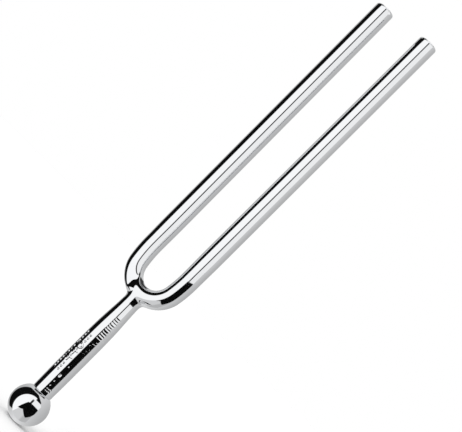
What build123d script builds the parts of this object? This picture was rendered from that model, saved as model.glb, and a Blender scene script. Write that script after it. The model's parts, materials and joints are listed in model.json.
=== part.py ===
from build123d import *
from math import cos, radians, sin
import os

# A tuning fork with round prongs and a ball foot, in millimetres and degrees.
# +Z runs from the ball foot to the prong tips, the prongs stand at -X and +X,
# and the origin is the lowest point of the ball.

# Driving dimensions
overall_length = 125.2
bar_diameter = 4.8
prong_spacing = 12.9
prong_splay = 0.3
tip_round = 0.5

# The bend of the bar, which is pressed a little flat in its own plane
crown_centre_z = 39.52
crown_radius = 6.08
crown_half_angle = 80.0
crown_inner_half_thickness = 2.2
crown_outer_half_thickness = 1.93
bend_end_half_thickness = 2.32
flat_fade_length = 7.0
crown_sections = 9
shoulder_sections = 4

ball_diameter = 9.5
tenon_diameter = 3.0
tenon_length = 5.0
bore_relief = 0.4

stem_foot_diameter = 5.08
stem_foot_chamfer = 0.12
stem_foot_slope = 0.02
stem_barrel_diameter = 5.24
stem_neck_diameter = 4.3
barrel_low_z = 16.5
barrel_high_z = 23.0
shoulder_diameter = 5.04
shoulder_z = 29.5
neck_z = 36.4

spigot_diameter = 2.6
spigot_top_z = 39.8
socket_relief = 0.2

collar_top_z = 38.9
collar_top_width = 8.0
collar_sections = 6

bar_radius = bar_diameter / 2
leg_angle = 90 - prong_splay
ball_radius = ball_diameter / 2
stem_foot_radius = stem_foot_diameter / 2
neck_radius = stem_neck_diameter / 2
stem_foot_z = ball_radius + (ball_radius**2 - stem_foot_radius**2) ** 0.5


def along(angle):
    """The direction of the bar's centreline where it stands at an angle from level."""
    return Vector(cos(radians(angle)), 0, sin(radians(angle)))


def outward(angle):
    """The direction away from the inside of the U, at an angle from straight down."""
    return Vector(sin(radians(angle)), 0, -cos(radians(angle)))


def on_crown(angle):
    """The point of the bar's centreline on the crown arc, at an angle from straight down."""
    return Vector(0, 0, crown_centre_z + crown_radius) + outward(angle) * crown_radius


def on_shoulder(angle):
    """The same on the wide arc that carries the crown on to the prong's line."""
    start = outward(crown_half_angle)
    reach = prong_spacing / 2 - crown_radius * start.X
    radius = reach / (outward(leg_angle).X - start.X)
    return on_crown(crown_half_angle) + (outward(angle) - start) * radius


def bar_section(point, angle):
    """The bar's section in the bend: an ellipse, thinnest at the bottom of the U."""
    share = sin(radians(90 * angle / leg_angle)) ** 2
    inner = crown_inner_half_thickness
    inner += (bend_end_half_thickness - crown_inner_half_thickness) * share
    outer = crown_outer_half_thickness
    outer += (bend_end_half_thickness - crown_outer_half_thickness) * share
    middle = point + outward(angle) * (outer - inner) / 2
    plane = Plane(origin=middle, x_dir=(0, 1, 0), z_dir=along(angle))
    return plane * Ellipse(bar_radius, (outer + inner) / 2)


def crown():
    """The bottom of the U."""
    sections = Sketch()
    for i in range(crown_sections):
        angle = crown_half_angle * (2 * i / (crown_sections - 1) - 1)
        sections += bar_section(on_crown(angle), angle)
    return loft(sections)


def prong():
    """The +X shoulder and the straight prong above it, with a rounded rim at the tip."""
    sections = Sketch()
    for i in range(shoulder_sections):
        angle = crown_half_angle + (leg_angle - crown_half_angle) * i / (shoulder_sections - 1)
        sections += bar_section(on_shoulder(angle), angle)
    base = on_shoulder(leg_angle)
    direction = along(leg_angle)
    round_start = Plane(
        origin=base + direction * flat_fade_length,
        x_dir=(0, 1, 0),
        z_dir=direction,
    )
    fade = loft(Sketch() + bar_section(base, leg_angle) + round_start * Circle(bar_radius), ruled=True)
    length = (overall_length - round_start.origin.Z) / direction.Z
    leg = extrude(round_start * Circle(bar_radius), length)
    tip_edge = leg.edges().filter_by(GeomType.CIRCLE).sort_by(Axis.Z)[-1]
    return loft(sections) + fade + fillet(tip_edge, tip_round)


def prong_bar():
    """One round bar bent into a U, with a blind socket in its crown for the stem."""
    right = prong()
    bar = crown() + right + mirror(right, about=Plane.YZ)
    socket_height = spigot_top_z + socket_relief - neck_z
    socket = Cylinder(
        spigot_diameter / 2,
        socket_height,
        align=(Align.CENTER, Align.CENTER, Align.MIN),
    )
    return bar - Pos(0, 0, neck_z) * socket


def stem():
    """The turned handle: a tenon for the ball, a barrel, a slim neck and a top spigot."""
    chamfered = stem_foot_radius - stem_foot_chamfer
    barrel = stem_barrel_diameter / 2
    tenon_bottom = stem_foot_z - tenon_length
    foot = (stem_foot_radius, stem_foot_z + stem_foot_chamfer)
    neck = (neck_radius, neck_z)
    outline = Polyline(
        (0, tenon_bottom),
        (tenon_diameter / 2, tenon_bottom),
        (tenon_diameter / 2, stem_foot_z),
        (chamfered, stem_foot_z),
        foot,
    )
    outline += Spline(foot, (barrel, barrel_low_z), tangents=((stem_foot_slope, 1), (0, 1)))
    outline += Line((barrel, barrel_low_z), (barrel, barrel_high_z))
    outline += Spline(
        (barrel, barrel_high_z),
        (shoulder_diameter / 2, shoulder_z),
        neck,
        tangents=((0, 1), (0, 1)),
    )
    outline += Polyline(
        neck,
        (spigot_diameter / 2, neck_z),
        (spigot_diameter / 2, spigot_top_z),
        (0, spigot_top_z),
        (0, tenon_bottom),
    )
    return revolve(Plane.XZ * make_face(outline), Axis.Z)


def neck_collar(bar):
    """Filler metal that flares from the slim neck onto the underside of the crown."""
    sections = Sketch()
    for i in range(collar_sections):
        share = i / (collar_sections - 1)
        flare = share**3
        width = neck_radius + (collar_top_width / 2 - neck_radius) * flare
        height = neck_z + (collar_top_z - neck_z) * share
        sections += Pos(0, 0, height) * Ellipse(width, neck_radius)
    spigot_hole = Cylinder(
        spigot_diameter / 2,
        spigot_top_z - neck_z,
        align=(Align.CENTER, Align.CENTER, Align.MIN),
    )
    return loft(sections) - bar - Pos(0, 0, neck_z) * spigot_hole


def ball_foot():
    """The ball, flat where the stem stands on it, with a blind bore for the stem's tenon."""
    ball = Pos(0, 0, ball_radius) * Sphere(ball_radius)
    above_flat = Cylinder(
        ball_radius,
        ball_radius,
        align=(Align.CENTER, Align.CENTER, Align.MIN),
    )
    bore_depth = tenon_length + bore_relief
    bore = Cylinder(
        tenon_diameter / 2,
        bore_depth,
        align=(Align.CENTER, Align.CENTER, Align.MAX),
    )
    return ball - Pos(0, 0, stem_foot_z) * above_flat - Pos(0, 0, stem_foot_z) * bore


bar = prong_bar()
pieces = {
    "prong_bar": bar,
    "stem": stem(),
    "neck_collar": neck_collar(bar),
    "ball_foot": ball_foot(),
}

os.makedirs("parts", exist_ok=True)
for name, piece in pieces.items():
    export_step(piece, f"parts/{name}.step")
    print(name, round(piece.volume, 2), "cubic millimetres", piece.bounding_box().size)
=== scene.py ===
import json
from math import cos, exp, pi, radians, sin

import bmesh
import bpy
import numpy as np
from mathutils import Matrix, Vector


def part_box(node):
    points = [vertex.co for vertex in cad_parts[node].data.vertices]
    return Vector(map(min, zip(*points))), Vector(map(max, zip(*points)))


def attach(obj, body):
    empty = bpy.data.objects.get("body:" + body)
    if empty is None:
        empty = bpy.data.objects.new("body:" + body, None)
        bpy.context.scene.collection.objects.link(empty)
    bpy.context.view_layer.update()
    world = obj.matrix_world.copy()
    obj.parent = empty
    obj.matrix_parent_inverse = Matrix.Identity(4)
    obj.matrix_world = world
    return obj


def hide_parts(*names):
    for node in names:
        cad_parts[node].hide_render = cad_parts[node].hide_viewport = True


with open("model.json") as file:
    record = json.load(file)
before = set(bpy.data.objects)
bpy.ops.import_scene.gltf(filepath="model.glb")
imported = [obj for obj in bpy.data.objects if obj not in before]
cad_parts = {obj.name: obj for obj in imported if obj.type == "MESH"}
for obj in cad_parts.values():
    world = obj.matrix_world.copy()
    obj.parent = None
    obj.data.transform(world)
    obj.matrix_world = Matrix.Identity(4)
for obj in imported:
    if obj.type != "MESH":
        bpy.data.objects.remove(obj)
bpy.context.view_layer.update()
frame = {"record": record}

# The looks of a nickel-plated tuning fork that stands on its ball foot.
# Lengths are in metres and angles in degrees unless a name says otherwise.
MM = 0.001

# Edges sharper than this stay sharp in the shading
CREASE_ANGLE = 35

# What the frame gives: the boxes of the CAD nodes and the measured mounts
BODY = "root"
BAR_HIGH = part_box("prong_bar")[1]
STEM_LOW, STEM_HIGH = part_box("stem")
COLLAR_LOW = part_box("neck_collar")[0]
BALL_LOW, BALL_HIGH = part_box("ball_foot")
MOUNTS = {mount["name"]: mount for mount in frame["record"]["mounts"]}
PRONG_AXIS = Vector(MOUNTS["right_prong"]["axis"])
BAR_RADIUS = BAR_HIGH.y
BALL_RADIUS = BALL_HIGH.y
BALL_CENTRE_Z = BALL_LOW.z + BALL_RADIUS
BARREL_RADIUS = STEM_HIGH.x

# The bent bar, a little flat in the plane of the U where it bends
CROWN_CENTRE_Z = 39.52 * MM
CROWN_RADIUS = 6.08 * MM
CROWN_HALF_ANGLE = 80
CROWN_INNER_HALF = 2.2 * MM
CROWN_OUTER_HALF = 1.93 * MM
BEND_END_HALF = 2.32 * MM
FLAT_FADE = 7.0 * MM
TIP_ROUND = 0.5 * MM
TIP_FACE_RINGS = (0.85, 0.5)
BAR_SEGMENTS = 96
CROWN_STEPS = 50
SHOULDER_STEPS = 14
FADE_STEPS = 16
LEG_STEPS = 50
TIP_STEPS = 8

# The turned stem
TENON_RADIUS = 1.5 * MM
TENON_GAP = 0.4 * MM
SPIGOT_RADIUS = 1.3 * MM
FOOT_RADIUS = 2.54 * MM
FOOT_CHAMFER = 0.12 * MM
FOOT_SLOPE = 0.02
SHOULDER_RADIUS = 2.52 * MM
SHOULDER_SLOPE = -0.04
NECK_RADIUS = 2.15 * MM
NECK_SLOPE = -0.02
FOOT_Z = BALL_HIGH.z
BARREL_LOW_Z = 16.5 * MM
BARREL_HIGH_Z = 23 * MM
SHOULDER_Z = 29.5 * MM
NECK_Z = COLLAR_LOW.z
STEM_SEGMENTS = 208
STEM_RING_STEP = 0.09 * MM

# The dressed neck: how far it reaches round the crown, how high its edge stands on the crown,
# and how far its curve keeps the direction of the stem below and of the crown above
COLLAR_REACH_ANGLE = 25
COLLAR_LIFT = 0.006 * MM
COLLAR_LOW_HANDLE = 0.6
COLLAR_HIGH_HANDLE = 0.38
COLLAR_STEPS = 28
COLLAR_SEGMENTS = 128

# A small step on each side of a point of the crown, where a slope is taken
SLOPE_STEP = 0.01

# The ball, in rings from just above its lowest point
BALL_START_ANGLE = 179
BALL_RINGS = 90
BALL_SEGMENTS = 128

# Hollows from the dressing of the neck, in millimetres: across, height, depth, and how far
# they spread to the left, to the right, and up and down
HOLLOWS = ((-3.4, 40.2, 0.7, 4.0, 1.5, 2.8), (-2.1, 38.5, 0.35, 2.0, 0.8, 1.2))

# The camera and the studio
CAMERA_AZIMUTH = 25
CAMERA_DISTANCE = 317 * MM
CAMERA_HEIGHT = 48 * MM
CAMERA_TILT = 3.306
CAMERA_TURN = 0.379
CAMERA_ROLL = 44.961
SENSOR_WIDTH = 36
LENS = 109.98
NEAREST_SEEN = 10 * MM
FLOOR_RADIUS = 6.0
FLOOR_SHADE = 0.8
FLOOR_SEGMENTS = 96
BLACK = 0.004
SUN_DIRECTION = (-30, 38)
SUN_ENERGY = 1.45
SUN_SPREAD = 24
TIP_CARD_RADIUS = 3 * MM
TIP_CARD_HEIGHT = 4 * MM
TIP_CARD_FORWARD = 1.5 * MM
TIP_CARD_SEGMENTS = 32

# The corners of two black flags, by their angle to the right of the lens and above level
NEAR_FLAG = ((-12, 16), (4.5, 19), (49.5, 15), (49.5, -13), (37, -48.5), (-10, -22), (-36.5, -35))
NEAR_FLAG_DISTANCE = 15 * MM
FAR_FLAG = ((-11, -0.6), (57, -0.6), (57, -16), (50, -50), (-9, -28), (-20, -30))
FAR_FLAG_DISTANCE = 1000 * MM
FAR_FLAG_HEIGHT = 48 * MM

# The studio as a mirror ball would show it, with x to the right and y up, both from -1 to 1.
# An edge is its place and half the width of its fade, and a shade is a brightness.
ROOM_SHADE = 0.80
ROOM_SIDE_FADE = -0.36
FRONT_CENTRE = (0.03, -0.19)
FRONT_EDGE = (0.66, 0.012)
CORNER_LEFT = (0.07, 0.01)
CORNER_LOW = (0.385, 0.01)
WALL_SHADE = 0.95
WALL_RIGHT = (0.47, 0.02)
TABLE_SHADE = 0.68
TABLE_TOP = (-0.25, 0.03)
TABLE_END_SHADE = 0.5
TABLE_END = (0.15, 0.06)
WINDOW_SHADE = 1.06
WINDOW_LEAN = -0.4
WINDOW_RIGHT = (-0.08, 0.012)
POST_SHADE = 0.02
POST_LEFT = (-0.055, 0.01)
POST_RIGHT = (0.045, 0.01)
POST_HIGH = (0.32, 0.05)
POST_LOW = (-0.35, 0.02)
RING_CENTRE = (-0.19, -0.05)
RING_EDGE = (0.75, 0.015)
RING_ROOF_SLOPE = 0.55
RING_ROOF = (0.635, 0.01)
RING_LOW = (-0.66, 0.02)
RING_RIGHT = (0.36, 0.02)
BOOM_SHADE = 0.05
BOOM_LOW = (0.67, 0.01)
BOOM_HIGH = (0.93, 0.03)
BOOM_LEFT = (-0.35, 0.03)
BOOM_RIGHT = (0.30, 0.04)

# The plate's polishing lines and clouds, per metre, and how much darker its clouds are
LINE_SCALE = 9000
CLOUD_SCALE = 260
LINE_DETAIL = 2.0
CLOUD_DETAIL = 3.0
CLOUD_TINT = 0.94
LINE_STRENGTH = 0.02
LINE_HEIGHT = 0.01 * MM

# Each piece's plate: its tint, how its polishing lines are drawn out, and its roughness
BAR_PLATE = ((0.90, 0.91, 0.925), (1, 1, 0.02), (0.02, 0.09))
STEM_PLATE = ((0.90, 0.91, 0.925), (0.02, 0.02, 1), (0.02, 0.09))
COLLAR_PLATE = ((0.89, 0.90, 0.915), (0.3, 0.3, 0.3), (0.03, 0.10))
BALL_PLATE = ((0.91, 0.92, 0.935), (0.02, 0.02, 1), (0.02, 0.08))

UP = Vector((0, 0, 1))
BACKWARDS = Vector((0, 1, 0))
TOWARDS_CAMERA = Vector((sin(radians(CAMERA_AZIMUTH)), -cos(radians(CAMERA_AZIMUTH)), 0))
CAMERA_RIGHT = Vector((cos(radians(CAMERA_AZIMUTH)), sin(radians(CAMERA_AZIMUTH)), 0))
LEG_ANGLE = 90 - float(np.degrees(np.arcsin(PRONG_AXIS.x)))


# ---------------------------------------------------------------- meshes

def skin(name, rings, closed=False):
    """A smooth mesh through rings of points. Its two ends are filled unless it closes on itself."""
    count, around = len(rings), len(rings[0])
    vertices = [Vector(point) for ring in rings for point in ring]
    faces = []
    for i in range(count if closed else count - 1):
        here, there = i * around, (i + 1) % count * around
        for j in range(around):
            k = (j + 1) % around
            faces.append((here + j, here + k, there + k, there + j))
    if not closed:
        for first in (0, (count - 1) * around):
            ring = vertices[first:first + around]
            vertices.append(sum(ring, Vector()) / around)
            hub = len(vertices) - 1
            faces += [(hub, first + j, first + (j + 1) % around) for j in range(around)]
    mesh = bpy.data.meshes.new(name)
    mesh.from_pydata([point[:] for point in vertices], [], faces)
    work = bmesh.new()
    work.from_mesh(mesh)
    bmesh.ops.recalc_face_normals(work, faces=work.faces)
    work.to_mesh(mesh)
    work.free()
    mesh.polygons.foreach_set("use_smooth", [True] * len(mesh.polygons))
    mesh.set_sharp_from_angle(angle=radians(CREASE_ANGLE))
    piece = bpy.data.objects.new(name, mesh)
    bpy.context.scene.collection.objects.link(piece)
    return piece


def round_ring(radius, height, segments):
    """A level circle of points about the fork's axis."""
    turns = [2 * pi * j / segments for j in range(segments)]
    return [Vector((radius * cos(t), radius * sin(t), height)) for t in turns]


def outward(angle):
    """The direction away from the inside of the U, at an angle from straight down."""
    return Vector((sin(radians(angle)), 0, -cos(radians(angle))))


def crown_centre(angle):
    """The centreline of the bar on the crown's arc."""
    return Vector((0, 0, CROWN_CENTRE_Z + CROWN_RADIUS)) + outward(angle) * CROWN_RADIUS


def bend_section(angle):
    """How far the bar reaches out of the U and into it from its centreline, in the bend."""
    share = sin(radians(90 * angle / LEG_ANGLE)) ** 2
    outer = CROWN_OUTER_HALF + (BEND_END_HALF - CROWN_OUTER_HALF) * share
    inner = CROWN_INNER_HALF + (BEND_END_HALF - CROWN_INNER_HALF) * share
    return outer, inner


def on_bar(station, turn):
    """A point of the bar's surface: turn is 0 on the outside of the U and 90 at its +Y side."""
    centre, out, (outer, inner), radius = station
    across = (outer - inner) / 2 + (outer + inner) / 2 * cos(radians(turn))
    return centre + out * across + Vector((0, radius * sin(radians(turn)), 0))


def on_crown(angle, turn):
    """A point of the crown's surface."""
    return on_bar((crown_centre(angle), outward(angle), bend_section(angle), BAR_RADIUS), turn)


def shoulder():
    """Centre and radius of the arc from the crown to the prong, and the middle of the prong's end."""
    tip = Vector((BAR_HIGH.x - BAR_RADIUS, 0, MOUNTS["right_tip_face"]["pos_m"][2]))
    start = crown_centre(CROWN_HALF_ANGLE)
    begin, end = outward(CROWN_HALF_ANGLE), outward(LEG_ANGLE)
    radius = (tip - start).dot(end) / (end - begin).dot(end)
    return start - begin * radius, radius, tip


def bar_stations():
    """The bar from the bottom of the U to the +X tip: centre, outward, reach out and in, radius."""
    stations = []
    for angle in np.linspace(0, CROWN_HALF_ANGLE, CROWN_STEPS):
        stations.append((crown_centre(angle), outward(angle), bend_section(angle), BAR_RADIUS))
    centre, radius, tip = shoulder()
    for angle in np.linspace(CROWN_HALF_ANGLE, LEG_ANGLE, SHOULDER_STEPS)[1:]:
        point = centre + outward(angle) * radius
        stations.append((point, outward(angle), bend_section(angle), BAR_RADIUS))
    base, side = stations[-1][:2]
    for share in np.linspace(0, 1, FADE_STEPS)[1:]:
        half = BEND_END_HALF + (BAR_RADIUS - BEND_END_HALF) * sin(radians(90 * share)) ** 2
        stations.append((base + PRONG_AXIS * FLAT_FADE * share, side, (half, half), BAR_RADIUS))
    fade_end, rim = stations[-1][0], tip - PRONG_AXIS * TIP_ROUND
    for share in np.linspace(0, 1, LEG_STEPS)[1:]:
        stations.append((fade_end.lerp(rim, share), side, (BAR_RADIUS, BAR_RADIUS), BAR_RADIUS))
    for angle in np.linspace(0, 90, TIP_STEPS)[1:]:
        narrow = BAR_RADIUS - TIP_ROUND * (1 - cos(radians(angle)))
        point = rim + PRONG_AXIS * TIP_ROUND * sin(radians(angle))
        stations.append((point, side, (narrow, narrow), narrow))
    for share in TIP_FACE_RINGS:
        flat = (BAR_RADIUS - TIP_ROUND) * share
        stations.append((tip, side, (flat, flat), flat))
    return stations


def dressed(point):
    """A point of the neck or crown after hand dressing, which left shallow hollows in its -Y face."""
    sunk = 0
    if point.y < 0:
        for x, z, depth, to_left, to_right, up_and_down in HOLLOWS:
            across, height = point.x / MM - x, point.z / MM - z
            spread = to_left if across < 0 else to_right
            away = (across / spread) ** 2 + (height / up_and_down) ** 2
            sunk += depth * MM * exp(-away) * min(1, -point.y / BAR_RADIUS)
    return point + BACKWARDS * sunk


def make_prong_bar():
    """One bent bar: both prongs and the crown, from the -X tip to the +X tip."""
    right = bar_stations()
    mirror = Matrix.Diagonal((-1, 1, 1))
    left = [(mirror @ centre, mirror @ out, *sizes) for centre, out, *sizes in right[:0:-1]]
    turns = np.linspace(0, 360, BAR_SEGMENTS, endpoint=False)
    rings = [[dressed(on_bar(station, turn)) for turn in turns] for station in left + right]
    return skin("prong_bar_polished", rings)


def collar_edge(angle, side):
    """The collar's upper edge on the crown, just off its surface, and the surface's way towards it."""
    more, less = 1 + SLOPE_STEP, 1 - SLOPE_STEP
    along = on_crown(angle * more, side * more) - on_crown(angle * less, side * less)
    by_angle = on_crown(angle + SLOPE_STEP, side) - on_crown(angle - SLOPE_STEP, side)
    by_side = on_crown(angle, side + SLOPE_STEP) - on_crown(angle, side - SLOPE_STEP)
    edge = on_crown(angle, side)
    lift = by_angle.cross(by_side).normalized() * COLLAR_LIFT
    if lift.dot(edge - crown_centre(angle)) < 0:
        lift = -lift
    return edge + lift, along.normalized()


def make_collar():
    """The brazed neck: a smooth flare from the stem's top edge on to the underside of the crown."""
    outer_rings = [[] for _ in range(COLLAR_STEPS)]
    inner_rings = [[] for _ in range(COLLAR_STEPS)]
    hole_edge, foot_face = [], []
    shares = [i / (COLLAR_STEPS - 1) for i in range(COLLAR_STEPS)]
    for j in range(COLLAR_SEGMENTS):
        turn = 2 * pi * j / COLLAR_SEGMENTS
        level = Vector((cos(turn), sin(turn), 0))
        angle, side = COLLAR_REACH_ANGLE * cos(turn), 90 * sin(turn)
        foot = level * NECK_RADIUS + UP * NECK_Z
        edge, along = collar_edge(angle, side)
        reach = (edge - foot).length
        low_handle = foot + (UP + level * NECK_SLOPE) * reach * COLLAR_LOW_HANDLE
        high_handle = edge - along * reach * COLLAR_HIGH_HANDLE
        for ring, t in zip(outer_rings, shares):
            point = (foot * (1 - t) ** 3 + low_handle * 3 * t * (1 - t) ** 2
                     + high_handle * 3 * t * t * (1 - t) + edge * t ** 3)
            ring.append(dressed(point))
        hole = level * SPIGOT_RADIUS
        hole_side = np.degrees(np.arcsin(hole.y / BAR_RADIUS))
        hole_angle = np.degrees(np.arcsin(hole.x / (CROWN_RADIUS + CROWN_OUTER_HALF)))
        for ring, t in zip(inner_rings, shares):
            ring.append(on_crown(angle + (hole_angle - angle) * t, side + (hole_side - side) * t))
        hole_edge.append(hole + UP * NECK_Z)
        foot_face.append(level * (SPIGOT_RADIUS + NECK_RADIUS) / 2 + UP * NECK_Z)
    rings = [*outer_rings, *inner_rings, hole_edge, foot_face]
    return skin("neck_collar_dressed", rings, closed=True)


def ease(start, end, slope_start, slope_end, length, s):
    """A cubic curve between two radii with given slopes, at a share s of its length."""
    return (start * (2 * s**3 - 3 * s**2 + 1) + end * (3 * s**2 - 2 * s**3)
            + length * (slope_start * (s**3 - 2 * s**2 + s) + slope_end * (s**3 - s**2)))


def stem_radius(z):
    """The stem's outline from the top of its foot's chamfer to its neck."""
    low = FOOT_Z + FOOT_CHAMFER
    if z < BARREL_LOW_Z:
        length = BARREL_LOW_Z - low
        return ease(FOOT_RADIUS, BARREL_RADIUS, FOOT_SLOPE, 0, length, (z - low) / length)
    if z < BARREL_HIGH_Z:
        return BARREL_RADIUS
    if z < SHOULDER_Z:
        length = SHOULDER_Z - BARREL_HIGH_Z
        return ease(BARREL_RADIUS, SHOULDER_RADIUS, 0, SHOULDER_SLOPE, length, (z - BARREL_HIGH_Z) / length)
    length = NECK_Z - SHOULDER_Z
    return ease(SHOULDER_RADIUS, NECK_RADIUS, SHOULDER_SLOPE, NECK_SLOPE, length, (z - SHOULDER_Z) / length)


# ---------------------------------------------------------------- the stamps

# Figures as lines through points (along the stem, across it), one unit high
FOUR = [(0.42, 0), (0.42, 1), (0, 0.32), (0.6, 0.32)]
ZERO = [(0.3 - 0.28 * cos(pi * k / 9), 0.5 + 0.5 * sin(pi * k / 9)) for k in range(19)]
PITCH_MARK = (FOUR, FOUR, ZERO)
PITCH_MARK_ADVANCE = 1.8 * MM
PITCH_MARK_HEIGHT = 2.2 * MM
PITCH_MARK_BASE = -0.75 * MM
PITCH_MARK_Z = 18.0 * MM

# Depth and half width of a stroke
BROAD = (0.2 * MM, 0.44 * MM)
DEEP = (0.16 * MM, 0.33 * MM)
SHALLOW = (0.07 * MM, 0.15 * MM)
WORN = (0.0105 * MM, 0.2 * MM)

# Rows of dashes: how far across the stem, the lowest one's height, their number and their stroke
DASH_LENGTH = 0.12 * MM
DASH_STEP = 0.86 * MM
DASH_ROWS = (
    (-2.65 * MM, 15.2 * MM, 13, BROAD),
    (-1.25 * MM, 15.2 * MM, 3, DEEP),
    (-1.25 * MM, 23.6 * MM, 3, DEEP),
)

# A row of ticks along the stem, each of them across it
TICK_BASE = 0.1 * MM
TICK_Z = 26.2 * MM
TICK_STEP = 0.66 * MM
TICK_LENGTHS = (2.0 * MM, 1.2 * MM, 1.2 * MM, 2.0 * MM, 1.2 * MM)
TICK_COUNT = 10

# A row of marks worn almost flat, with where each begins and ends across the stem, in millimetres
WORN_Z = 17.8 * MM
WORN_STEP = 0.74 * MM
WORN_TICKS = ((0.2, 0.9), (0.7, 1.5), (0.1, 0.5), (0.4, 1.4), (0.9, 1.6), (0.2, 1.0))
WORN_COUNT = 11

# Single dots, in millimetres (across, height, half width), and two rows of three dots
DOTS = ((0.25, 14.3, 0.32), (0.3, 17.1, 0.13), (0.2, 12.7, 0.13), (0.2, 11.4, 0.13))
DOT_ROWS = (10.6 * MM, 10.0 * MM)
DOT_ROW_STARTS = (0.2 * MM, 0.65 * MM, 1.1 * MM)


def stamped_strokes():
    """The stamps on the unrolled stem: ends (across, z) of straight strokes, their depth and half width."""
    strokes = []
    for index, figure in enumerate(PITCH_MARK):
        start = PITCH_MARK_Z + index * PITCH_MARK_ADVANCE
        points = [(PITCH_MARK_BASE - y * PITCH_MARK_HEIGHT, start + x * PITCH_MARK_HEIGHT) for x, y in figure]
        strokes += [(*ends, *DEEP) for ends in zip(points, points[1:])]
    for index in range(WORN_COUNT):
        z = WORN_Z + index * WORN_STEP
        begin, end = WORN_TICKS[index % len(WORN_TICKS)]
        strokes.append(((begin * MM, z), (end * MM, z + WORN_STEP / 3), *WORN))
    for across, low, count, stroke in DASH_ROWS:
        for index in range(count):
            z = low + index * DASH_STEP
            strokes.append(((across, z), (across, z + DASH_LENGTH), *stroke))
    for index in range(TICK_COUNT):
        z = TICK_Z + index * TICK_STEP
        length = TICK_LENGTHS[index % len(TICK_LENGTHS)]
        strokes.append(((TICK_BASE, z), (TICK_BASE + length, z), *SHALLOW))
    for across, z, half_width in DOTS:
        ends = (across * MM, z * MM), (across * MM, (z + half_width) * MM)
        strokes.append((*ends, half_width * MM / 2, half_width * MM))
    for z in DOT_ROWS:
        for across in DOT_ROW_STARTS:
            strokes.append(((across, z), (across + DASH_LENGTH, z), *SHALLOW))
    return strokes


def mark_depth(across, heights):
    """How deep the stamps go at each point of the unrolled stem."""
    deepest = np.zeros(across.shape)
    for (u0, z0), (u1, z1), depth, half_width in stamped_strokes():
        du, dz = u1 - u0, z1 - z0
        share = np.clip(((across - u0) * du + (heights - z0) * dz) / (du * du + dz * dz), 0, 1)
        nearest = np.hypot(across - u0 - share * du, heights - z0 - share * dz)
        inside = np.clip(1 - (nearest / half_width) ** 2, 0, 1)
        deepest = np.maximum(deepest, depth * inside ** 2)
    return deepest


def make_stem():
    """The turned handle with its tenon and spigot, stamped on the side that faces the camera."""
    tenon_low, spigot_high = STEM_LOW.z, STEM_HIGH.z
    heights = np.arange(FOOT_Z + FOOT_CHAMFER, NECK_Z, STEM_RING_STEP)
    heights = np.append(heights, NECK_Z)
    turns = np.linspace(0, 360, STEM_SEGMENTS, endpoint=False)
    facing = (turns - (CAMERA_AZIMUTH - 90) + 180) % 360 - 180
    radii = np.array([stem_radius(z) for z in heights])
    across = np.radians(facing)[None, :] * radii[:, None]
    depth = mark_depth(across, np.repeat(heights[:, None], STEM_SEGMENTS, 1))
    rings = [
        round_ring(TENON_RADIUS / 2, tenon_low, STEM_SEGMENTS),
        round_ring(TENON_RADIUS, tenon_low, STEM_SEGMENTS),
        round_ring(TENON_RADIUS, FOOT_Z, STEM_SEGMENTS),
        round_ring(FOOT_RADIUS - FOOT_CHAMFER, FOOT_Z, STEM_SEGMENTS),
    ]
    for z, radius, dents in zip(heights, radii, depth):
        ring = []
        for turn, dent in zip(turns, dents):
            t = radians(turn)
            ring.append(Vector(((radius - dent) * cos(t), (radius - dent) * sin(t), z)))
        rings.append(ring)
    rings += [
        round_ring(SPIGOT_RADIUS, NECK_Z, STEM_SEGMENTS),
        round_ring(SPIGOT_RADIUS, spigot_high, STEM_SEGMENTS),
        round_ring(SPIGOT_RADIUS / 2, spigot_high, STEM_SEGMENTS),
    ]
    return skin("stem_stamped", rings)


def make_ball():
    """The ball foot, cut flat where the stem stands, with the bore for the tenon."""
    flat_z = BALL_HIGH.z
    bore_z = STEM_LOW.z - TENON_GAP
    flat_angle = np.degrees(np.arccos((flat_z - BALL_CENTRE_Z) / BALL_RADIUS))
    rings = []
    for angle in np.radians(np.linspace(BALL_START_ANGLE, flat_angle, BALL_RINGS)):
        height = BALL_CENTRE_Z + BALL_RADIUS * cos(angle)
        rings.append(round_ring(BALL_RADIUS * sin(angle), height, BALL_SEGMENTS))
    rings += [
        round_ring(TENON_RADIUS, flat_z, BALL_SEGMENTS),
        round_ring(TENON_RADIUS, bore_z, BALL_SEGMENTS),
        round_ring(TENON_RADIUS / 2, bore_z, BALL_SEGMENTS),
    ]
    return skin("ball_foot_polished", rings)


# ---------------------------------------------------------------- shader nodes

def feed(tree, value, socket):
    """Sets a socket to a number, or links it to another socket."""
    if isinstance(value, bpy.types.NodeSocket):
        tree.links.new(value, socket)
    else:
        socket.default_value = value


def maths(tree, operation, *values):
    """One Math node."""
    node = tree.nodes.new("ShaderNodeMath")
    node.operation = operation
    for value, socket in zip(values, node.inputs):
        feed(tree, value, socket)
    return node.outputs[0]


def vector_maths(tree, operation, output, *values):
    """One Vector Math node."""
    node = tree.nodes.new("ShaderNodeVectorMath")
    node.operation = operation
    for value, socket in zip(values, node.inputs):
        feed(tree, value, socket)
    return node.outputs[output]


def rise(tree, value, edge):
    """0 below an edge and 1 above it, with a smooth fade. An edge is a place and half the fade's width."""
    place, softness = edge
    node = tree.nodes.new("ShaderNodeMapRange")
    node.interpolation_type = "SMOOTHSTEP"
    feed(tree, value, node.inputs["Value"])
    node.inputs["From Min"].default_value = place - softness
    node.inputs["From Max"].default_value = place + softness
    return node.outputs["Result"]


def fall(tree, value, edge):
    """1 below an edge and 0 above it."""
    return outside(tree, rise(tree, value, edge))


def outside(tree, mask):
    """Where a mask isn't."""
    return maths(tree, "SUBTRACT", 1.0, mask)


def both(tree, *masks):
    """Where all the masks are."""
    result = masks[0]
    for mask in masks[1:]:
        result = maths(tree, "MULTIPLY", result, mask)
    return result


def paint(tree, under, colour, mask):
    """A grey value laid over another where the mask is."""
    change = maths(tree, "SUBTRACT", colour, under)
    return maths(tree, "MULTIPLY_ADD", change, mask, under)


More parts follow.
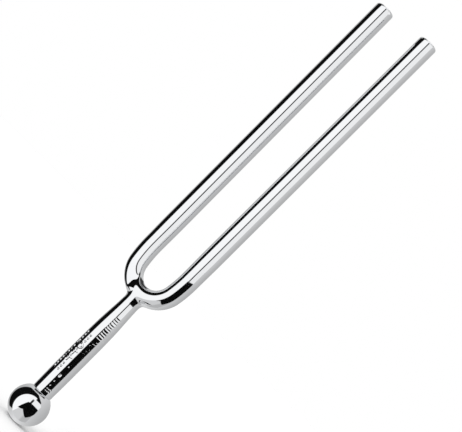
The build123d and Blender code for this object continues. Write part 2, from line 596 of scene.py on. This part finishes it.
def mirror_ball(tree):
    """Where a mirror ball shows the direction of a ray: to the right of its middle, and up from it."""
    to_lens = (TOWARDS_CAMERA * CAMERA_DISTANCE + UP * (CAMERA_HEIGHT - BALL_CENTRE_Z)).normalized()
    direction = tree.nodes.new("ShaderNodeTexCoord").outputs["Generated"]
    between = vector_maths(tree, "ADD", "Vector", direction, to_lens)
    half = vector_maths(tree, "NORMALIZE", "Vector", between)
    x = vector_maths(tree, "DOT_PRODUCT", "Value", half, CAMERA_RIGHT)
    y = vector_maths(tree, "DOT_PRODUCT", "Value", half, to_lens.cross(CAMERA_RIGHT))
    return x, y


def disc(tree, x, y, centre, edge):
    """1 in a disc and 0 round it."""
    dx, dy = maths(tree, "SUBTRACT", x, centre[0]), maths(tree, "SUBTRACT", y, centre[1])
    squares = maths(tree, "ADD", maths(tree, "MULTIPLY", dx, dx), maths(tree, "MULTIPLY", dy, dy))
    return fall(tree, maths(tree, "SQRT", squares), edge)


def studio_light(tree):
    """The light and dark areas of the studio round the fork, one laid over another."""
    x, y = mirror_ball(tree)
    corner = both(tree, rise(tree, x, CORNER_LEFT), rise(tree, y, CORNER_LOW))
    front = both(tree, disc(tree, x, y, FRONT_CENTRE, FRONT_EDGE), outside(tree, corner))

    value = maths(tree, "MULTIPLY_ADD", maths(tree, "ABSOLUTE", x), ROOM_SIDE_FADE, ROOM_SHADE)
    wall = both(tree, front, fall(tree, x, WALL_RIGHT))
    value = paint(tree, value, WALL_SHADE, wall)
    table = both(tree, wall, fall(tree, y, TABLE_TOP))
    value = paint(tree, value, TABLE_SHADE, table)
    value = paint(tree, value, TABLE_END_SHADE, both(tree, table, rise(tree, x, TABLE_END)))
    leaning = maths(tree, "MULTIPLY_ADD", y, WINDOW_LEAN, x)
    value = paint(tree, value, WINDOW_SHADE, both(tree, front, fall(tree, leaning, WINDOW_RIGHT)))
    post = both(tree, rise(tree, x, POST_LEFT), fall(tree, x, POST_RIGHT),
                fall(tree, y, POST_HIGH), rise(tree, y, POST_LOW))
    value = paint(tree, value, POST_SHADE, post)

    right_only = maths(tree, "MAXIMUM", x, 0.0)
    roof = maths(tree, "MULTIPLY_ADD", right_only, RING_ROOF_SLOPE, y)
    ring = both(tree, disc(tree, x, y, RING_CENTRE, RING_EDGE), outside(tree, front),
                fall(tree, roof, RING_ROOF), rise(tree, y, RING_LOW), fall(tree, x, RING_RIGHT))
    value = paint(tree, value, BLACK, ring)
    boom = both(tree, rise(tree, y, BOOM_LOW), fall(tree, y, BOOM_HIGH),
                rise(tree, x, BOOM_LEFT), fall(tree, x, BOOM_RIGHT))
    return paint(tree, value, BOOM_SHADE, boom)


def make_world():
    """Plain white for the background and the floor's light, and the studio for reflections."""
    world = bpy.data.worlds.new("studio")
    bpy.context.scene.world = world
    world.use_nodes = True
    tree = world.node_tree
    tree.nodes.clear()
    plain, studio = tree.nodes.new("ShaderNodeBackground"), tree.nodes.new("ShaderNodeBackground")
    feed(tree, studio_light(tree), studio.inputs["Color"])
    mixer = tree.nodes.new("ShaderNodeMixShader")
    feed(tree, tree.nodes.new("ShaderNodeLightPath").outputs["Is Glossy Ray"], mixer.inputs[0])
    plain.inputs["Color"].default_value = (1, 1, 1, 1)
    tree.links.new(plain.outputs[0], mixer.inputs[1])
    tree.links.new(studio.outputs[0], mixer.inputs[2])
    output = tree.nodes.new("ShaderNodeOutputWorld")
    tree.links.new(mixer.outputs[0], output.inputs["Surface"])


def clouds(tree, scale, stretch, detail):
    """Noise that is fixed to the object, drawn out where a stretch is below 1."""
    place = tree.nodes.new("ShaderNodeTexCoord").outputs["Object"]
    node = tree.nodes.new("ShaderNodeTexNoise")
    feed(tree, vector_maths(tree, "MULTIPLY", "Vector", place, stretch), node.inputs["Vector"])
    node.inputs["Scale"].default_value = scale
    node.inputs["Detail"].default_value = detail
    return node.outputs["Fac"]


def chrome(name, tint, grain, roughness):
    """Polished nickel plate: fine polishing lines, and clouds in its gloss and its tint."""
    material = bpy.data.materials.new(name)
    material.use_nodes = True
    tree = material.node_tree
    shader = tree.nodes["Principled BSDF"]
    shader.inputs["Metallic"].default_value = 1.0
    lines = clouds(tree, LINE_SCALE, grain, LINE_DETAIL)
    smear = clouds(tree, CLOUD_SCALE, (1, 1, 1), CLOUD_DETAIL)
    low, high = roughness
    gloss = maths(tree, "MULTIPLY_ADD", maths(tree, "MULTIPLY", lines, smear), high - low, low)
    feed(tree, gloss, shader.inputs["Roughness"])
    mixer = tree.nodes.new("ShaderNodeMix")
    mixer.data_type = "RGBA"
    feed(tree, smear, mixer.inputs["Factor"])
    mixer.inputs["A"].default_value = (*[CLOUD_TINT * part for part in tint], 1)
    mixer.inputs["B"].default_value = (*tint, 1)
    feed(tree, mixer.outputs["Result"], shader.inputs["Base Color"])
    bump = tree.nodes.new("ShaderNodeBump")
    bump.inputs["Strength"].default_value = LINE_STRENGTH
    bump.inputs["Distance"].default_value = LINE_HEIGHT
    feed(tree, lines, bump.inputs["Height"])
    tree.links.new(bump.outputs["Normal"], shader.inputs["Normal"])
    return material


def make_floor():
    """A plain white floor that the fork's reflections leave out."""
    mesh = bpy.data.meshes.new("floor")
    rim = round_ring(FLOOR_RADIUS, 0, FLOOR_SEGMENTS)
    mesh.from_pydata([point[:] for point in rim], [], [range(FLOOR_SEGMENTS)])
    floor = bpy.data.objects.new("floor", mesh)
    bpy.context.scene.collection.objects.link(floor)
    material = bpy.data.materials.new("white_paper")
    material.use_nodes = True
    shader = material.node_tree.nodes["Principled BSDF"]
    shader.inputs["Base Color"].default_value = (FLOOR_SHADE, FLOOR_SHADE, FLOOR_SHADE, 1)
    shader.inputs["Roughness"].default_value = 1.0
    shader.inputs["Specular IOR Level"].default_value = 0.0
    mesh.materials.append(material)
    floor.visible_glossy = False


def studio_direction(across, above):
    """A direction by its angle to the right of the lens and its angle above level."""
    a, e = radians(across), radians(above)
    return CAMERA_RIGHT * sin(a) * cos(e) + TOWARDS_CAMERA * cos(a) * cos(e) + UP * sin(e)


def make_card(name, points, shade, glow=0.0):
    """A card of cloth or light, which only reflections see."""
    middle = sum(points, Vector()) / len(points)
    faces = [(i, (i + 1) % len(points), len(points)) for i in range(len(points))]
    mesh = bpy.data.meshes.new(name)
    mesh.from_pydata([point[:] for point in [*points, middle]], [], faces)
    card = bpy.data.objects.new(name, mesh)
    bpy.context.scene.collection.objects.link(card)
    material = bpy.data.materials.new(name + "_surface")
    material.use_nodes = True
    shader = material.node_tree.nodes["Principled BSDF"]
    shader.inputs["Base Color"].default_value = (shade, shade, shade, 1)
    shader.inputs["Roughness"].default_value = 1.0
    shader.inputs["Specular IOR Level"].default_value = 0.0
    shader.inputs["Emission Color"].default_value = (1, 1, 1, 1)
    shader.inputs["Emission Strength"].default_value = glow
    mesh.materials.append(material)
    card.visible_camera = False
    card.visible_diffuse = False
    card.visible_shadow = False


def make_cards():
    """Black flags near the ball and far in front, and a small light card over each prong tip."""
    for name, outline, height, distance in (
        ("near_flag", NEAR_FLAG, BALL_CENTRE_Z, NEAR_FLAG_DISTANCE),
        ("far_flag", FAR_FLAG, FAR_FLAG_HEIGHT, FAR_FLAG_DISTANCE),
    ):
        make_card(name, [UP * height + studio_direction(*corner) * distance for corner in outline], BLACK)
    for side in ("left", "right"):
        above_tip = Vector(MOUNTS[side + "_tip_face"]["pos_m"]) + UP * TIP_CARD_HEIGHT
        above_tip += TOWARDS_CAMERA * TIP_CARD_FORWARD
        rim = [above_tip + point for point in round_ring(TIP_CARD_RADIUS, 0, TIP_CARD_SEGMENTS)]
        make_card(side + "_tip_card", rim, BLACK, glow=1.0)


def make_sun():
    """A broad soft light from the front left, which only the floor sees."""
    lamp = bpy.data.lights.new("softbox", "SUN")
    lamp.energy = SUN_ENERGY
    lamp.angle = radians(SUN_SPREAD)
    sun = bpy.data.objects.new("softbox", lamp)
    bpy.context.scene.collection.objects.link(sun)
    sun.rotation_mode = "QUATERNION"
    sun.rotation_quaternion = studio_direction(*SUN_DIRECTION).to_track_quat("Z", "Y")
    sun.visible_glossy = False


def make_camera():
    """The camera, with the fork's axis leaning from lower left to upper right."""
    data = bpy.data.cameras.new("camera")
    data.lens = LENS
    data.sensor_width = SENSOR_WIDTH
    data.sensor_fit = "HORIZONTAL"
    data.clip_start = NEAREST_SEEN
    camera = bpy.data.objects.new("camera", data)
    bpy.context.scene.collection.objects.link(camera)
    tilt, turn, roll = radians(CAMERA_TILT), radians(CAMERA_TURN), radians(CAMERA_ROLL)
    forward = -TOWARDS_CAMERA * cos(tilt) + UP * sin(tilt)
    up = UP * cos(tilt) + TOWARDS_CAMERA * sin(tilt)
    ahead = forward * cos(turn) + CAMERA_RIGHT * sin(turn)
    right = CAMERA_RIGHT * cos(turn) - forward * sin(turn)
    picture_up = up * cos(roll) - right * sin(roll)
    picture_right = right * cos(roll) + up * sin(roll)
    axes = Matrix((picture_right, picture_up, -ahead)).transposed()
    place = TOWARDS_CAMERA * CAMERA_DISTANCE + UP * CAMERA_HEIGHT
    camera.matrix_world = Matrix.Translation(place) @ axes.to_4x4()
    bpy.context.scene.camera = camera


make_camera()
make_world()
make_floor()
make_cards()
make_sun()
bpy.context.scene.view_settings.view_transform = "Standard"

pieces = (
    (make_prong_bar(), "prong_bar", "plated_bar", chrome("nickel_bar", *BAR_PLATE)),
    (make_stem(), "stem", "plated_stem", chrome("nickel_stem", *STEM_PLATE)),
    (make_collar(), "neck_collar", "plated_collar", chrome("nickel_collar", *COLLAR_PLATE)),
    (make_ball(), "ball_foot", "plated_ball", chrome("nickel_ball", *BALL_PLATE)),
)
for piece, node, slot, material in pieces:
    piece.data.materials.append(material)
    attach(piece, BODY)
    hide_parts(node)
